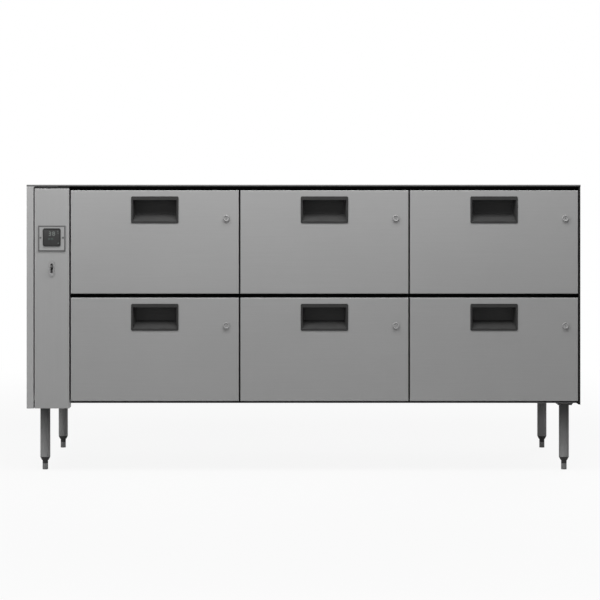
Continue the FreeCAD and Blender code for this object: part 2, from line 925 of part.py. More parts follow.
# Control fascia: a steel pan over the column's front, with openings for the thermostat and the switch.
fascia = new_body("control_fascia", "fascia_x", "face_y", "skirt_z")
pad(fascia, rectangle_on(fascia, "front", 0, 0, "fascia_width", 0, "fascia_height"), "face_setback")
round_edges(fascia, "front_bend", lambda box: flat(box, "Y", 0))
fascia_hollow = rectangle_on(
    fascia, "front", "sheet", "sheet", "fascia_width - sheet", "sheet", "fascia_height - sheet"
)
pocket(fascia, fascia_hollow, "face_setback - sheet")


case_window = (
    "display_x",
    "controller_z",
    "case_width + 2 * case_clearance",
    "case_height + 2 * case_clearance",
)
neck_window = (
    "display_x",
    "switch_z",
    "switch_neck_width + 2 * case_clearance",
    "switch_neck_height + 2 * case_clearance",
)
for window in (case_window, neck_window):
    pocket(fascia, centred(fascia, 0, *window), "sheet")
keep(fascia, "control_fascia")

# Display plate: steel, screwed to the fascia at both sides, with the thermostat's window in it.
plate = new_body("display_plate", "fascia_x", "face_y", "skirt_z")
outline = centred(plate, 0, "display_x", "display_z", "display_width", "display_height")
pad(plate, outline, "display_thickness", -1)
bevel_edges(plate, "display_corner", lambda box: flat(box, "X") and flat(box, "Z"))
pocket(plate, centred(plate, 0, *case_window), "display_thickness", -1)
keep(plate, "display_plate")

# Thermostat: a plastic case that passes through plate and fascia, with a bezel round its sunk window.
controller = new_body("controller", "fascia_x", "face_y", "skirt_z")
bezel = centred(
    controller,
    "-display_thickness",
    "display_x",
    "controller_z",
    "controller_width",
    "controller_height",
)
pad(controller, bezel, "bezel_thickness", -1)
bevel_edges(controller, "bezel_corner", lambda box: flat(box, "X") and flat(box, "Z"))
case = centred(controller, "-display_thickness", "display_x", "controller_z", "case_width", "case_height")
pad(controller, case, "controller_depth + display_thickness")
screen = centred(
    controller,
    "-display_thickness - bezel_thickness",
    "display_x",
    "controller_z",
    "controller_width - 2 * bezel_border",
    "controller_height - 2 * bezel_border",
)
pocket(controller, screen, "bezel_recess")
keep(controller, "controller")

# Power switch: an oblong steel escutcheon on the fascia, its neck and the box behind, slotted for the lever.
switch = new_body("power_switch", "fascia_x", "face_y", "skirt_z")
escutcheon = centred(switch, 0, "display_x", "switch_z", "escutcheon_width", "escutcheon_height")
pad(switch, escutcheon, "escutcheon_thickness", -1)
round_edges(switch, "escutcheon_corner", lambda box: flat(box, "X") and flat(box, "Z"))
neck = centred(switch, 0, "display_x", "switch_z", "switch_neck_width", "switch_neck_height")
pad(switch, neck, "sheet")
switch_box = centred(switch, "sheet", "display_x", "switch_z", "switch_box_width", "switch_box_height")
pad(switch, switch_box, "switch_depth - sheet")
slot = centred(switch, "-escutcheon_thickness", "display_x", "switch_z", "slot_width", "slot_height")
pocket(switch, slot, "switch_depth + escutcheon_thickness - switch_wall")
pin_hole = add_circle(
    sketch_on(switch, "side", "display_x - lever_pin_length / 2 - pin_clearance"),
    "pivot_y",
    "switch_z",
    "lever_pin_radius + pin_clearance",
)
pocket(switch, pin_hole, "lever_pin_length + 2 * pin_clearance")
keep(switch, "power_switch")

# Switch lever: a flat bat on a hub, with a cross pin that turns in the switch. It rests tilted up.
lever = new_body("switch_lever", "fascia_x + display_x", "face_y + pivot_y", "skirt_z + switch_z")
bat_upper = [
    ("lever_hub / 2", "lever_hub / 4"),
    ("lever_hub / 4", "lever_hub / 2"),
    ("-lever_hub / 4", "lever_hub / 2"),
    ("-lever_hub / 2", "lever_neck / 2"),
    ("lever_bevel - lever_length", "lever_tip_radius"),
    ("-lever_length", "lever_tip_radius - lever_bevel"),
]
bat_lower = [(y, f"-({z})") for y, z in reversed(bat_upper)]
bat = add_outline(sketch_on(lever, "side", "-lever_width / 2"), bat_upper + bat_lower)
pad(lever, bat, "lever_width")
pin_side = add_circle(sketch_on(lever, "side", "-lever_pin_length / 2"), 0, 0, "lever_pin_radius")
pad(lever, pin_side, "lever_pin_length")
lever.Placement.Rotation = FreeCAD.Rotation(Vector(-1, 0, 0), 1)
bind(lever, "Placement.Rotation.Angle", "lever_tilt")
keep(lever, "switch_lever")

# Legs: a plate bolted under the base, a tube, and a threaded insert that tapers the tube's lower end. Each
# foot is a spindle of round bar that screws into the insert.
LEGS = (
    (1, "leg_left_x", "leg_front_y"),
    (2, "leg_right_x", "leg_front_y"),
    (3, "leg_left_x", "leg_rear_y"),
    (4, "leg_right_x", "leg_rear_y"),
)
legs = []
for number, x, y in LEGS:
    foot = new_body(f"foot_{number}", x, y, 0)
    foot_top = "foot_stem + foot_spindle"
    revolve(foot, [(0, 0), ("foot_radius", 0), ("foot_radius", foot_top), (0, foot_top)], "front")
    keep(foot, foot.Name)

    leg = new_body(f"leg_{number}", x, y, 0)
    plate_z = "base_z - leg_plate_thickness"
    insert_top = "foot_stem + insert_length"
    bore = "foot_radius + foot_clearance"
    tube = [
        (bore, "foot_stem"),
        ("tube_end_radius", "foot_stem"),
        ("tube_radius", "foot_stem + tube_taper"),
        ("tube_radius", plate_z),
        (0, plate_z),
        (0, insert_top),
        (bore, insert_top),
    ]
    revolve(leg, tube, "front")
    half_plate = "leg_plate_width / 2"
    corners = rectangle_on(leg, "top", plate_z, f"-{half_plate}", half_plate, f"-{half_plate}", half_plate)
    pad(leg, corners, "leg_plate_thickness")
    legs.append(leg)
keep(group("leg_tubes", legs), "leg_tubes")

# Evaporator: a sheet casing on the back wall with the fan's mouth and a return slot, the finned block, the
# motor on its cross arm, and the suction, liquid and drain lines through the back.
casing_end_x = "casing_x + casing_width"
casing_top_z = "casing_z + casing_height"
casing_block = block(
    "casing_block",
    ("casing_x", casing_end_x),
    ("casing_y", "inner_back_y"),
    ("casing_z", casing_top_z),
)
casing_hollow = block(
    "casing_hollow",
    ("casing_x + casing_wall", f"{casing_end_x} - casing_wall"),
    ("casing_y + casing_wall", "inner_back_y"),
    ("casing_z + casing_wall", f"{casing_top_z} - casing_wall"),
)
fan_mouth = rod(
    "fan_mouth", "fan_radius + fan_tip_clearance", "2 * casing_wall", "fan_x", "casing_y", "fan_z", "Y"
)
return_slot = block(
    "return_slot",
    ("casing_x + casing_width / 8", f"{casing_end_x} - casing_width / 8"),
    ("casing_y", "casing_y + 2 * casing_wall"),
    ("casing_z + coil_lift / 2", "casing_z + coil_lift"),
)
casing = cut("evaporator_casing", casing_block, [casing_hollow, fan_mouth, return_slot])
coil = block(
    "coil",
    ("casing_x + casing_wall", f"{casing_end_x} - casing_wall"),
    ("coil_y", "inner_back_y"),
    ("casing_z + coil_lift", "casing_z + coil_lift + coil_height"),
)
motor = fuse(
    "fan_motor",
    [
        rod("motor_case", "motor_radius", "motor_length", "fan_x", "motor_y", "fan_z", "Y"),
        rod("motor_shaft", "shaft_radius", "motor_y - fan_y", "fan_x", "fan_y", "fan_z", "Y"),
        block(
            "motor_arm",
            ("casing_x + casing_wall", f"{casing_end_x} - casing_wall"),
            ("arm_y - arm_thickness", "arm_y"),
            ("fan_z - arm_width / 2", "fan_z + arm_width / 2"),
        ),
    ],
)
pass_block = [line_pass("pass_block", 0)]
for step, line in ((-1, "suction"), (0, "liquid"), (1, "drain")):
    stub_x = f"fan_x + ({step}) * stub_pitch"
    stub = rod(line + "_stub", line + "_radius", "stub_reach", stub_x, "back_y", "stub_z", "Y")
    pass_block.append(stub)
for label, piece in (
    ("evaporator_casing", casing),
    ("evaporator_coil", coil),
    ("fan_motor", motor),
    ("refrigerant_lines", fuse("lines", pass_block)),
):
    keep(piece, label)

# Fan rotor: a hub bored for the motor's shaft, and flat pitched blades.
rotor = new_body("fan_rotor", "fan_x", "fan_y", "fan_z")
hub_disc = add_circle(sketch_on(rotor, "front"), 0, 0, "fan_hub_radius")
pad(rotor, hub_disc, "fan_width")
half_chord = "fan_width * 0.4"
rise = "fan_width * 0.5"
middle = "fan_width / 2"
blade_section = [
    (f"{middle} - {half_chord}", f"-({rise}) - blade_thickness"),
    (f"{middle} + {half_chord}", rise),
    (f"{middle} + {half_chord}", f"{rise} + blade_thickness"),
    (f"{middle} - {half_chord}", f"-({rise})"),
]
blade_root = "fan_hub_radius * 0.6"
blade_sketch = add_outline(sketch_on(rotor, "side", blade_root), blade_section)
blade = pad(rotor, blade_sketch, f"fan_radius - {blade_root}")
doc.recompute()
blades = rotor.newObject("PartDesign::PolarPattern", "blades")
blades.Originals = [blade]
blades.Axis = (origin_of(rotor, "Y_Axis"), [""])
blades.Angle = 360
bind(blades, "Occurrences", "blade_count")
rotor.Tip = blades
doc.recompute()
shaft_hole = add_circle(sketch_on(rotor, "front"), 0, 0, "shaft_radius + shaft_clearance")
pocket(rotor, shaft_hole, "fan_width")
keep(rotor, "fan_rotor")

doc.recompute()
for thing in doc.Objects:
    if {"Invalid", "Error"} & set(thing.State):
        raise RuntimeError(f"{thing.Name} failed: {thing.State}")
for part in parts:
    if part.Shape.isNull() or not part.Shape.isValid():
        raise RuntimeError(f"{part.Label} has no valid shape")
os.makedirs("parts", exist_ok=True)
for part in parts:
    part.Shape.exportStep(os.path.join("parts", part.Label + ".step"))
whole = Part.makeCompound([part.Shape for part in parts]).BoundBox
print(f"{len(parts)} sub-parts, {whole.XLength:.1f} x {whole.YLength:.1f} x {whole.ZLength:.1f} mm")
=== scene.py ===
import math

import bpy
from mathutils import Matrix, Vector


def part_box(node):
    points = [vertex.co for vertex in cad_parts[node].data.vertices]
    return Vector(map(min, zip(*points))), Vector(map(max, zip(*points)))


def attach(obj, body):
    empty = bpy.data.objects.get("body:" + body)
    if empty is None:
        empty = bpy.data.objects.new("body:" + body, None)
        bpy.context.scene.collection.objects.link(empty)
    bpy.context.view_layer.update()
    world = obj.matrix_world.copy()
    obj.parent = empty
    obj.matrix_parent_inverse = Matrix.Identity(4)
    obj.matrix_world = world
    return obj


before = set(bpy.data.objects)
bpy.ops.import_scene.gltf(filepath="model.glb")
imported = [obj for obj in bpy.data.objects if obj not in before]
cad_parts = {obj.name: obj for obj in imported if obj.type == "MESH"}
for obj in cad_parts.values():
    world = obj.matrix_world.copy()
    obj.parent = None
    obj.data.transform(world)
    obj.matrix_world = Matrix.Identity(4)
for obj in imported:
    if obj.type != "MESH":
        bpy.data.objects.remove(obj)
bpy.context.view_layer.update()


# Outer sheets
# Base, back and right side are stainless sheet, folded and riveted, and a pan closes the control column at
# the left. They carry the same fine polish as the fronts, along their length.
class Link:
    """A value in a material's node tree, which can be reckoned with like a number."""

    def __init__(self, finish, socket):
        self.finish = finish
        self.socket = socket

    def reckon(self, operation, *values):
        return self.finish.add("ShaderNodeMath", {"operation": operation}, dict(enumerate(values)))

    def __add__(self, other):
        return self.reckon("ADD", self, other)

    def __radd__(self, other):
        return self.reckon("ADD", other, self)

    def __sub__(self, other):
        return self.reckon("SUBTRACT", self, other)

    def __rsub__(self, other):
        return self.reckon("SUBTRACT", other, self)

    def __mul__(self, other):
        return self.reckon("MULTIPLY", self, other)

    def __rmul__(self, other):
        return self.reckon("MULTIPLY", other, self)

    def __truediv__(self, other):
        return self.reckon("DIVIDE", self, other)

    def __lt__(self, other):
        return self.reckon("LESS_THAN", self, other)

    def __gt__(self, other):
        return self.reckon("GREATER_THAN", self, other)


class Finish:
    """One material, a Principled shader: its steady values are given at once, what varies is fed later."""

    def __init__(self, name, **steady):
        self.material = bpy.data.materials.new(name)
        self.material.use_nodes = True
        self.tree = self.material.node_tree
        self.shader = self.tree.nodes["Principled BSDF"]
        for socket, number in steady.items():
            label = socket.replace("_", " ").title().replace("Ior", "IOR")
            self.shader.inputs[label].default_value = number

    def add(self, kind, settings=None, inputs=None, output=0):
        """A node of that kind: its settings first, then the numbers or links of its sockets."""
        made = self.tree.nodes.new(kind)
        for key, setting in (settings or {}).items():
            setattr(made, key, setting)
        for key, given in (inputs or {}).items():
            if isinstance(given, Link):
                self.tree.links.new(given.socket, made.inputs[key])
            else:
                made.inputs[key].default_value = given
        return Link(self, made.outputs[output])

    def feed(self, socket, link):
        self.tree.links.new(link.socket, self.shader.inputs[socket])

    def place(self):
        return self.add("ShaderNodeTexCoord", output="Object")

    def axes(self):
        """The place on the object as three numbers, in metres."""
        where = {"Vector": self.place()}
        return [self.add("ShaderNodeSeparateXYZ", None, where, axis) for axis in "XYZ"]

    def cloud(self, size, detail=3.0, rough=0.55):
        """Noise from 0 to 1, its grain stretched to the given sizes along X, Y and Z in metres."""
        scale = Vector([1 / length for length in size])
        stretched = self.add(
            "ShaderNodeVectorMath", {"operation": "MULTIPLY"}, {0: self.place(), 1: scale}
        )
        noise = {"Vector": stretched, "Scale": 1.0, "Detail": detail, "Roughness": rough}
        return self.add("ShaderNodeTexNoise", None, noise, "Fac")

    def haze(self, grain, detail=3.0):
        """Noise with the same grain along all three axes."""
        return self.cloud((grain, grain, grain), detail)

    def blend(self, share, low, high):
        """A colour between two others."""
        colours = {0: share, 6: low, 7: high}  # the factor, and the two sockets that take a colour
        return self.add("ShaderNodeMix", {"data_type": "RGBA"}, colours, 2)

    def ramp(self, link, begin, end, first, last):
        """A value that eases from the first number to the last while the link goes from begin to end."""
        limits = {0: link, 1: begin, 2: end, 3: first, 4: last}
        return self.add("ShaderNodeMapRange", {"interpolation_type": "SMOOTHSTEP"}, limits)

    def relief(self, height, strength, distance):
        bump = {"Height": height, "Strength": strength, "Distance": distance}
        self.feed("Normal", self.add("ShaderNodeBump", None, bump))

    def dress(self, *names):
        """Gives the finish to CAD nodes."""
        for name in names:
            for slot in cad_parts[name].material_slots:
                slot.material = self.material


def grey(level, warmth=0.0):
    """A grey, leaning towards red by its warmth."""
    return (level * (1 + warmth), level, level * (1 - warmth), 1.0)


SCRATCH_WIDTH = 0.0012


def along(axis, length=0.16):
    """The grain of a polish whose scratches run along X, Y or Z."""
    grain = [SCRATCH_WIDTH] * 3
    grain["XYZ".index(axis)] = length
    return grain


def sheet_finish(name, dark, light, rough, grain, metallic=0.3):
    """Fine polished steel: short bright and dark scratches along one way, over a slow cloudiness."""
    finish = Finish(name, metallic=metallic, specular_ior_level=0.3)
    scratch = finish.cloud(grain, 4.0, 0.6)
    drift = finish.cloud((0.5, 0.5, 0.35), 2.0)
    smear = finish.cloud((0.05, 0.05, 0.09), 4.0, 0.65)
    finish.tone = finish.blend(scratch * 0.55 + drift * 0.45, grey(dark), grey(light))
    finish.feed("Base Color", finish.tone)
    finish.feed("Roughness", scratch * 0.08 + smear * 0.08 + rough)
    finish.relief(scratch, strength=0.05, distance=0.0002)
    return finish


def hazy_finish(name, grain, dark, light, rough, spread, detail=3.0, **steady):
    """A plain material whose colour and roughness drift a little with one fine haze."""
    finish = Finish(name, **steady)
    finish.drift = finish.haze(grain, detail)
    finish.feed("Base Color", finish.blend(finish.drift, dark, light))
    finish.feed("Roughness", finish.drift * spread + rough)
    return finish


outer_finish = sheet_finish("outer_sheet", 0.24, 0.32, rough=0.3, grain=along("X"))
outer_finish.dress("base_sheet", "back_sheet")
side_finish = sheet_finish("side_sheet", 0.24, 0.32, rough=0.3, grain=along("Y"))
side_finish.dress("side_sheet")
end_finish = sheet_finish("end_sheet", 0.305, 0.375, rough=0.3, grain=along("Z"))
end_finish.dress("end_panel")


def start(kind, **place):
    """A new primitive, the only thing selected."""
    bpy.ops.object.select_all(action="DESELECT")
    getattr(bpy.ops.mesh, f"primitive_{kind}_add")(**place)
    return bpy.context.object


def pick(piece, wanted):
    """Enters edit mode with the faces selected that pass the test."""
    bpy.ops.object.mode_set(mode="EDIT")
    bpy.ops.mesh.select_mode(type="FACE")
    bpy.ops.mesh.select_all(action="DESELECT")
    bpy.ops.object.mode_set(mode="OBJECT")
    for face in piece.data.polygons:
        face.select = wanted(face)
    bpy.ops.object.mode_set(mode="EDIT")


def done():
    bpy.ops.object.mode_set(mode="OBJECT")


def modify(piece, kind, **settings):
    """A modifier that is applied at once."""
    added = piece.modifiers.new(kind.lower(), kind)
    for key, setting in settings.items():
        setattr(added, key, setting)
    bpy.context.view_layer.objects.active = piece
    bpy.ops.object.modifier_apply(modifier=added.name)


def join(pieces):
    """Several shapes as one piece."""
    bpy.ops.object.select_all(action="DESELECT")
    for piece in pieces:
        piece.select_set(True)
    bpy.context.view_layer.objects.active = pieces[0]
    bpy.ops.object.join()
    return pieces[0]


def settle(piece, name, body, finish, angle=35.0):
    """Names a finished piece, takes its place into its mesh, and gives it its body and finish."""
    bpy.ops.object.select_all(action="DESELECT")
    piece.select_set(True)
    bpy.context.view_layer.objects.active = piece
    bpy.ops.object.transform_apply(location=True, rotation=True, scale=True)
    bpy.ops.object.shade_smooth_by_angle(angle=math.radians(angle))
    piece.name = name
    piece.data.name = name
    piece.data.materials.clear()
    piece.data.materials.append(finish.material)
    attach(piece, body)


def twin_of(piece):
    """A copy with a mesh of its own."""
    twin = piece.copy()
    twin.data = piece.data.copy()
    bpy.context.scene.collection.objects.link(twin)
    return twin


def copied(piece, name, body, shift):
    """Copies a settled piece and moves the copy's mesh by a shift."""
    twin = twin_of(piece)
    twin.data.transform(Matrix.Translation(shift))
    twin.name = name
    twin.data.name = name
    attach(twin, body)


UPRIGHT = (math.pi / 2, 0, 0)
TOWARDS = {"back": (-math.pi / 2, 0, 0), "front": UPRIGHT}
DOME = ((0.3, 0.25), (0.35, 0.15))  # its steps: inwards in radii, and upwards in heights


def button(radius, height, centre, side):
    """A domed head on a surface that faces that side."""
    edge = height * 0.6
    head = start("cylinder", vertices=20, radius=radius, depth=edge, location=(0, 0, edge / 2))
    pick(head, lambda face: face.normal.z > 0.9)
    for inset, rise in DOME:
        bpy.ops.mesh.inset(thickness=radius * inset)
        bpy.ops.transform.translate(value=(0, 0, height * rise))
    done()
    bpy.ops.object.transform_apply(location=True)
    head.rotation_euler = TOWARDS[side]
    head.location = centre
    return head


BACK_Y = 0.32
BASE_Z, TOP_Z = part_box("base_sheet")[0][2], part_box("top_panel")[1][2]
RIVETS_LEFT, RIVETS_RIGHT, COLUMN_STEP = -0.84, 0.86, 0.17
LOW_ROW, HIGH_ROW, ROW_STEP = BASE_Z + 0.016, TOP_Z - 0.021, 0.165
rivet_finish = hazy_finish("rivet_steel", 0.003, grey(0.26), grey(0.4), rough=0.25, spread=0.2, metallic=0.8)
rivet_places = [(RIVETS_LEFT + COLUMN_STEP * step, z) for step in range(11) for z in (LOW_ROW, HIGH_ROW)]
rivet_places += [(x, LOW_ROW + ROW_STEP * step) for step in range(1, 4) for x in (RIVETS_LEFT, RIVETS_RIGHT)]
rivet_x, rivet_z = rivet_places[0]
rivet = button(radius=0.0042, height=0.0014, centre=(rivet_x, BACK_Y, rivet_z), side="back")
settle(rivet, "back_rivet_1", "cabinet", rivet_finish)
for number, (x, z) in enumerate(rivet_places[1:], start=2):
    copied(rivet, f"back_rivet_{number}", "cabinet", (x - rivet_x, 0, z - rivet_z))


# Insulated body
# Foam between a plastic liner and the outer sheets, with the bays for the drawers. The liner is a pale grey
# moulded plastic with a faint orange peel.
liner_finish = Finish("pale_liner", roughness=0.45, coat_weight=0.1)
liner_peel = liner_finish.haze(0.004, 2.0)
liner_drift = liner_finish.haze(0.2, 2.0)
liner_finish.feed("Base Color", liner_finish.blend(liner_drift, grey(0.55), grey(0.66)))
liner_finish.relief(liner_peel, strength=0.08, distance=0.0004)
liner_finish.dress("insulated_body")


# Face frame
# The steel plate that the gaskets close on, painted satin black. It shows as the dark lines between the
# drawer fronts.
frame_finish = hazy_finish(
    "black_frame", 0.002, grey(0.002), grey(0.005), rough=0.5, spread=0.2, detail=2.0, specular_ior_level=0.1
)
frame_finish.dress("face_frame")


# Legs
# Four round tubes of polished stainless, each welded to a plate that four bolts hold under the base. A
# threaded insert tapers the tube's lower end. The tubes carry painted shade that darkens them upwards under
# the base, and the tapered ends, which face down, are painted dark as shade.
INSERT_TOP, SHADE_BEGIN, SHADE_END = 0.041, 0.07, 0.215  # heights over the floor
leg_finish = Finish("leg_tube", metallic=0.05, specular_ior_level=0.05)
leg_grain = leg_finish.cloud((0.0015, 0.0015, 0.09), 4.0)
leg_haze = leg_finish.haze(0.05, 2.0)
leg_height = leg_finish.axes()[2]
# Painted shade: the share of the unshaded tone falls from near the floor up towards the base.
leg_unshaded = leg_finish.ramp(leg_height, SHADE_BEGIN, SHADE_END, first=1.0, last=0.15)
leg_tone = leg_finish.blend(leg_grain * 0.6 + leg_haze * 0.4, grey(0.24), grey(0.36))
leg_shade = leg_finish.blend(leg_unshaded, grey(0.03), leg_tone)
# Painted shade: below the insert's top the tube is painted dark.
leg_finish.feed("Base Color", leg_finish.blend(leg_height < INSERT_TOP, leg_shade, grey(0.06)))
leg_finish.feed("Roughness", leg_haze * 0.14 + 0.3)
leg_finish.relief(leg_grain, strength=0.12, distance=0.0003)
leg_finish.dress("leg_tubes")

LEGS = [(x, y) for y in (-0.24, 0.27) for x in (-0.829, 0.838)]
BOLTS = [(x, y) for y in (-0.018, 0.018) for x in (-0.018, 0.018)]  # from the middle of a leg
PLATE_Z = BASE_Z - 0.004  # the lower side of the plates


def ring(radius, thickness, centre, steps, **turned):
    """A ring of round rod, in steps round the ring and round the rod."""
    return start(
        "torus",
        major_radius=radius,
        minor_radius=thickness,
        major_segments=steps[0],
        minor_segments=steps[1],
        location=centre,
        **turned,
    )


def half_ring(radius, thickness, centre, inwards, steps, **turned):
    """A ring on a surface, cut in half there: the half that lies inwards goes, and the cut is closed."""
    half = ring(radius, thickness, centre, steps, **turned)
    bpy.ops.object.mode_set(mode="EDIT")
    bpy.ops.mesh.select_all(action="SELECT")
    bpy.ops.mesh.bisect(plane_co=centre, plane_no=inwards, clear_outer=True)
    bpy.ops.mesh.bridge_edge_loops()
    done()
    return half


bolt = start("cylinder", vertices=6, radius=0.0058, depth=0.004, location=(0, 0, PLATE_Z - 0.003))
modify(bolt, "BEVEL", width=0.0007, segments=2)
washer = start("cylinder", vertices=28, radius=0.0078, depth=0.0012, location=(0, 0, PLATE_Z - 0.0006))
modify(washer, "BEVEL", width=0.0003, segments=1)
bolt = join([bolt, washer])
weld = half_ring(0.0164, 0.002, centre=(0, 0, PLATE_Z), inwards=(0, 0, 1), steps=(40, 10))
bolt_finish = hazy_finish(
    "blackened_bolt", 0.004, grey(0.03), grey(0.06), rough=0.35, spread=0.2, metallic=0.4
)
weld_finish = hazy_finish(
    "weld_bead", 0.002, grey(0.05), grey(0.16, 0.05), rough=0.3, spread=0.3, detail=2.0, metallic=0.5
)
weld_finish.relief(weld_finish.drift, strength=0.4, distance=0.0006)
for leg, (x, y) in enumerate(LEGS, start=1):
    for corner, (dx, dy) in enumerate(BOLTS, start=1):
        twin = twin_of(bolt)
        twin.location = (x + dx, y + dy, bolt.location.z)
        settle(twin, f"leg_bolt_{leg}_{corner}", "cabinet", bolt_finish)
    twin = twin_of(weld)
    twin.location = (x, y, weld.location.z)
    settle(twin, f"leg_weld_{leg}", "cabinet", weld_finish, angle=60.0)
for sample in (bolt, weld):
    bpy.data.objects.remove(sample)


# Levelling feet
# A spindle of chromed bar in each leg, which screws in and out to level the unit. Its lower end is a plain
# disc, and its upper end just below the leg is painted dark as the leg's shadow.
FOOT_SHADOW_FROM = 0.0195
foot_finish = Finish("chromed_bar", metallic=0.1, specular_ior_level=0.1)
foot_haze = foot_finish.haze(0.012)
foot_bar = foot_finish.blend(foot_haze, grey(0.17), grey(0.26))
# Painted shadow: above this height the spindle is dark, as shade under the leg.
is_leg_shadow = foot_finish.axes()[2] > FOOT_SHADOW_FROM
foot_finish.feed("Base Color", foot_finish.blend(is_leg_shadow, foot_bar, grey(0.045)))
foot_finish.feed("Roughness", foot_haze * 0.12 + 0.15)
foot_finish.dress("foot_1", "foot_2", "foot_3", "foot_4")


# Slides
# Rolled steel channels, zinc plated: rails screwed to the bays, members screwed to the bins, and between
# them the middle members that run in both. The plating has a fine spangle.
CORNERS = {number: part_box(f"drawer_front_{number}")[0] for number in range(1, 7)}  # of the fronts, lower left


def six(name):
    """The names of what each drawer has one of."""
    return [f"{name}_{number}" for number in CORNERS]


slide_finish = Finish("zinc_slide", metallic=1.0)
slide_spangle = slide_finish.add(
    "ShaderNodeTexVoronoi", None, {"Vector": slide_finish.place(), "Scale": 260.0}, "Distance"
)
slide_grain = slide_finish.cloud((0.0015, 0.12, 0.0015))
slide_finish.feed("Base Color", slide_finish.blend(slide_grain, grey(0.3, -0.02), grey(0.42, -0.02)))
slide_finish.feed("Roughness", slide_spangle * 0.3 + 0.22)
slide_finish.dress("slide_rails", *six("slide_mid"))


# Evaporator and its lines
# Behind the middle drawers: an aluminium casing over the finned block, and copper lines that leave through a
# foam plug in the back wall. The drain is a pale plastic pipe.
alloy_finish = Finish("mill_aluminium", metallic=1.0)
alloy_grain = alloy_finish.cloud((0.001, 0.001, 0.06))
alloy_finish.feed("Base Color", alloy_finish.blend(alloy_grain, grey(0.58), grey(0.7)))
alloy_finish.feed("Roughness", alloy_grain * 0.2 + 0.28)
alloy_finish.dress("evaporator_casing")

HALF_PITCH = 0.0021  # from the middle of a fin to the middle of a gap
fin_finish = Finish("coil_fins", metallic=0.9)
fin_x = fin_finish.axes()[0]
# Painted shade: dark bands at the fin pitch stand for the shaded gaps between the fins.
fin_gap_shade = fin_x.reckon("PINGPONG", fin_x, HALF_PITCH) / HALF_PITCH
fin_bent = fin_finish.haze(0.03, 2.0)
fin_finish.feed("Base Color", fin_finish.blend(fin_gap_shade, grey(0.05), grey(0.62)))
fin_finish.feed("Roughness", fin_bent * 0.3 + 0.25)
fin_finish.relief(fin_gap_shade, strength=0.8, distance=0.001)
fin_finish.dress("evaporator_coil")

DRAIN_X = 0.1  # between the copper lines and the drain
PLUG_Y = BACK_Y + 0.0002
line_finish = Finish("copper_and_drain")
line_x, line_y = line_finish.axes()[:2]
line_stain = line_finish.haze(0.012, 4.0)
is_drain = line_x > DRAIN_X
is_plug = line_y < PLUG_Y
is_metal = (1 - is_drain) * (1 - is_plug)
copper = line_finish.blend(line_stain, (0.3, 0.13, 0.08, 1.0), (0.62, 0.29, 0.17, 1.0))
pipe = line_finish.blend(is_drain, copper, grey(0.5))
line_finish.feed("Base Color", line_finish.blend(is_plug, pipe, grey(0.02)))
line_finish.feed("Metallic", is_metal)
line_finish.feed("Roughness", line_stain * 0.25 + is_plug * 0.4 + 0.25)
line_finish.dress("refrigerant_lines")


# Fan
# A black moulded rotor on a small motor in the casing's mouth, and in front of it a guard of steel wire:
# rings, welded to four spokes and plated bright.
fan_finish = hazy_finish("black_moulding", 0.0015, grey(0.018), grey(0.03), rough=0.4, spread=0.2, detail=2.0)
fan_finish.dress("fan_rotor", "fan_motor")

FAN_X, GUARD_Y, FAN_Z = 0.066, 0.1903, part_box("evaporator_casing")[1][2] - 0.11
GUARD_RINGS, WIRE_RADIUS = (0.022, 0.044, 0.066, 0.088), 0.0011
SPOKE_LENGTH, SPOKE_MIDDLE, SPOKE_Y = 0.074, 0.058, GUARD_Y - 0.0016
guard = []
for radius in GUARD_RINGS:
    guard.append(ring(radius, WIRE_RADIUS, (FAN_X, GUARD_Y, FAN_Z), steps=(64, 8), rotation=UPRIGHT))
for turn in range(4):
    angle = math.pi / 4 + turn * math.pi / 2
    across, up = SPOKE_MIDDLE * math.cos(angle), SPOKE_MIDDLE * math.sin(angle)
    spoke = start(
        "cylinder",
        vertices=10,
        radius=WIRE_RADIUS,
        depth=SPOKE_LENGTH,
        location=(FAN_X + across, SPOKE_Y, FAN_Z + up),
        rotation=(0, math.pi / 2 - angle, 0),
    )
    modify(spoke, "BEVEL", width=0.0004, segments=1)
    guard.append(spoke)
wire_finish = hazy_finish("guard_wire", 0.01, grey(0.5), grey(0.62), rough=0.15, spread=0.15, metallic=1.0)
settle(join(guard), "fan_guard", "cabinet", wire_finish, angle=50.0)


# Gaskets
# Extruded black vinyl bellows with a magnet inside, pressed into the back of each drawer front. A soft bead
# runs round the outside of the bellows.
seal_finish = Finish("black_vinyl", roughness=0.5, specular_ior_level=0.2)
seal_speck = seal_finish.haze(0.003, 2.0)
seal_finish.feed("Base Color", seal_finish.blend(seal_speck, grey(0.008), grey(0.016)))
seal_finish.relief(seal_speck, strength=0.1, distance=0.0003)
seal_finish.dress(*six("gasket"))


def framing(centre, size, width, thickness, rounding, segments=2, **turned):
    """A frame of flat strip with rounded edges: its outer size, then how wide and thick the strip is."""
    strip = start("plane", size=1, location=centre, **turned)
    strip.scale = (size[0], size[1], 1)
    bpy.ops.object.transform_apply(location=True, rotation=True, scale=True)
    pick(strip, lambda face: True)
    bpy.ops.mesh.inset(thickness=width)
    bpy.ops.mesh.delete(type="FACE")
    done()
    modify(strip, "SOLIDIFY", thickness=thickness, offset=-1.0, use_even_offset=True)
    modify(strip, "BEVEL", width=rounding, segments=segments)
    return strip


def on_drawer(x, y, z):
    """A place on drawer 1, with X and Z from the lower left corner of its front."""
    return (CORNERS[1][0] + x, y, CORNERS[1][2] + z)


def settle_six(piece, label, finish, angle=35.0, ending=""):
    """Settles a piece that was made on drawer 1, and copies it to the other five."""
    settle(piece, f"{label}_1{ending}", "drawer_1", finish, angle)
    for number in range(2, 7):
        shift = (CORNERS[number][0] - CORNERS[1][0], 0, CORNERS[number][2] - CORNERS[1][2])
        copied(piece, f"{label}_{number}{ending}", f"drawer_{number}", shift)


